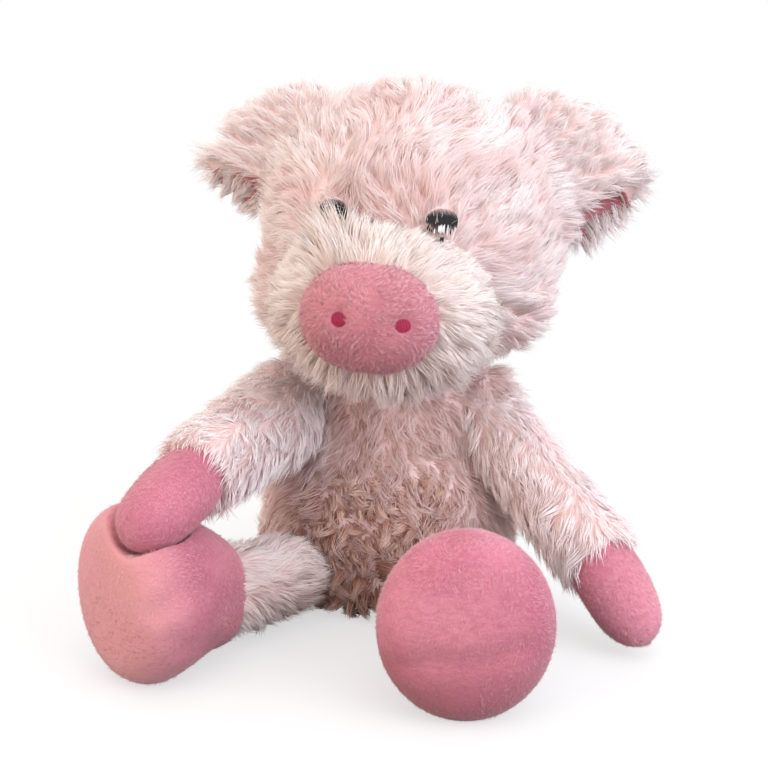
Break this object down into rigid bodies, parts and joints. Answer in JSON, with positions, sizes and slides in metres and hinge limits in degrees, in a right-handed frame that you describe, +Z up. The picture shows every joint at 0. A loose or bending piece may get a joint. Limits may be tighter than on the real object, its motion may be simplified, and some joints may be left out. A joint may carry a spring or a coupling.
{
  "type": "plush pig",
  "caption": "Sitting stuffed pig of long-pile fur fabric, with short-pile snout, mitts and feet, folded ears, and head and limbs that turn at their seams.",
  "frame": {"origin": "middle of the seat, on the surface that the toy sits on", "axes": "+Z up, the pig faces -Y, its left side is +X"},
  "size_m": [0.2465, 0.2238, 0.2457],
  "materials": {
    "pink_fur": "long pale-pink pile with whitish tips, matt",
    "pale_fur": "long cream pile, matt",
    "rose_plush": "short deep-pink pile with a soft sheen",
    "snout_plush": "short dusky-pink pile, matt",
    "stuffing": "loose white polyester fibre",
    "pellet_cloth": "plain woven cloth bag filled with pellets",
    "seam_tape": "folded seam allowance of the fur's backing",
    "black_thread": "close satin-stitch embroidery, slightly glossy",
    "white_thread": "a few white satin stitches",
    "crimson_thread": "close satin-stitch embroidery, slightly glossy"
  },
  "bodies": {
    "torso": {"torso_skin": "pink_fur", "torso_stuffing": "stuffing", "seat_pellet_bag": "pellet_cloth", "tail": "rose_plush"},
    "neck": {"neck_seam": "seam_tape"},
    "head": {"head_skin": "pink_fur", "head_stuffing": "stuffing", "muzzle_skin": "pale_fur", "snout_skin": "snout_plush", "nostril_left": "crimson_thread", "nostril_right": "crimson_thread", "eye_left": "black_thread", "eye_right": "black_thread", "eye_highlight_left": "white_thread", "eye_highlight_right": "white_thread"},
    "ear_left": {"ear_left_outer": "pink_fur", "ear_left_lining": "rose_plush"},
    "ear_right": {"ear_right_outer": "pink_fur", "ear_right_lining": "rose_plush"},
    "arm_left": {"arm_left_sleeve": "pink_fur", "mitt_left": "rose_plush", "arm_left_stuffing": "stuffing"},
    "arm_right": {"arm_right_sleeve": "pink_fur", "mitt_right": "rose_plush", "arm_right_stuffing": "stuffing"},
    "leg_left": {"leg_left_sleeve": "pink_fur", "foot_left_cover": "rose_plush", "foot_left_sole": "rose_plush", "leg_left_stuffing": "stuffing"},
    "leg_right": {"leg_right_sleeve": "pink_fur", "foot_right_cover": "rose_plush", "foot_right_sole": "rose_plush", "leg_right_stuffing": "stuffing"}
  },
  "joints": [
    {"name": "head_turn", "type": "hinge", "parent": "torso", "child": "neck", "pos_m": [0.006, -0.002, 0.091], "axis": [0, 0, -1], "range_deg": [-40, 20], "stiffness_Nm_per_rad": 0.3},
    {"name": "head_nod", "type": "hinge", "parent": "neck", "child": "head", "pos_m": [0.006, -0.002, 0.091], "axis": [0.9779, -0.1901, -0.0872], "range_deg": [-14, 10], "stiffness_Nm_per_rad": 0.6},
    {"name": "ear_left_flap", "type": "hinge", "parent": "head", "child": "ear_left", "pos_m": [0.07213, -0.01282, 0.20259], "axis": [-0.4303, 0.0837, 0.8988], "range_deg": [-15, 15], "stiffness_Nm_per_rad": 0.05},
    {"name": "ear_right_flap", "type": "hinge", "parent": "head", "child": "ear_right", "pos_m": [-0.03935, 0.00885, 0.21252], "axis": [0.577, -0.1121, 0.809], "range_deg": [-15, 15], "stiffness_Nm_per_rad": 0.05},
    {"name": "arm_left_swing", "type": "hinge", "parent": "torso", "child": "arm_left", "pos_m": [0.052, -0.017, 0.085], "axis": [-0.7547, -0.6561, 0], "range_deg": [0, 70]},
    {"name": "arm_right_swing", "type": "hinge", "parent": "torso", "child": "arm_right", "pos_m": [-0.043, -0.0145, 0.0945], "axis": [0.8788, -0.4772, 0], "range_deg": [-42, 0]},
    {"name": "leg_left_swing", "type": "hinge", "parent": "torso", "child": "leg_left", "pos_m": [0.031, -0.051, 0.026], "axis": [-1, 0, 0], "range_deg": [-45, 30], "stiffness_Nm_per_rad": 0.4},
    {"name": "leg_right_swing", "type": "hinge", "parent": "torso", "child": "leg_right", "pos_m": [-0.042, -0.045, 0.026], "axis": [-0.682, 0.7314, 0], "range_deg": [-45, 0], "stiffness_Nm_per_rad": 0.4}
  ]
}
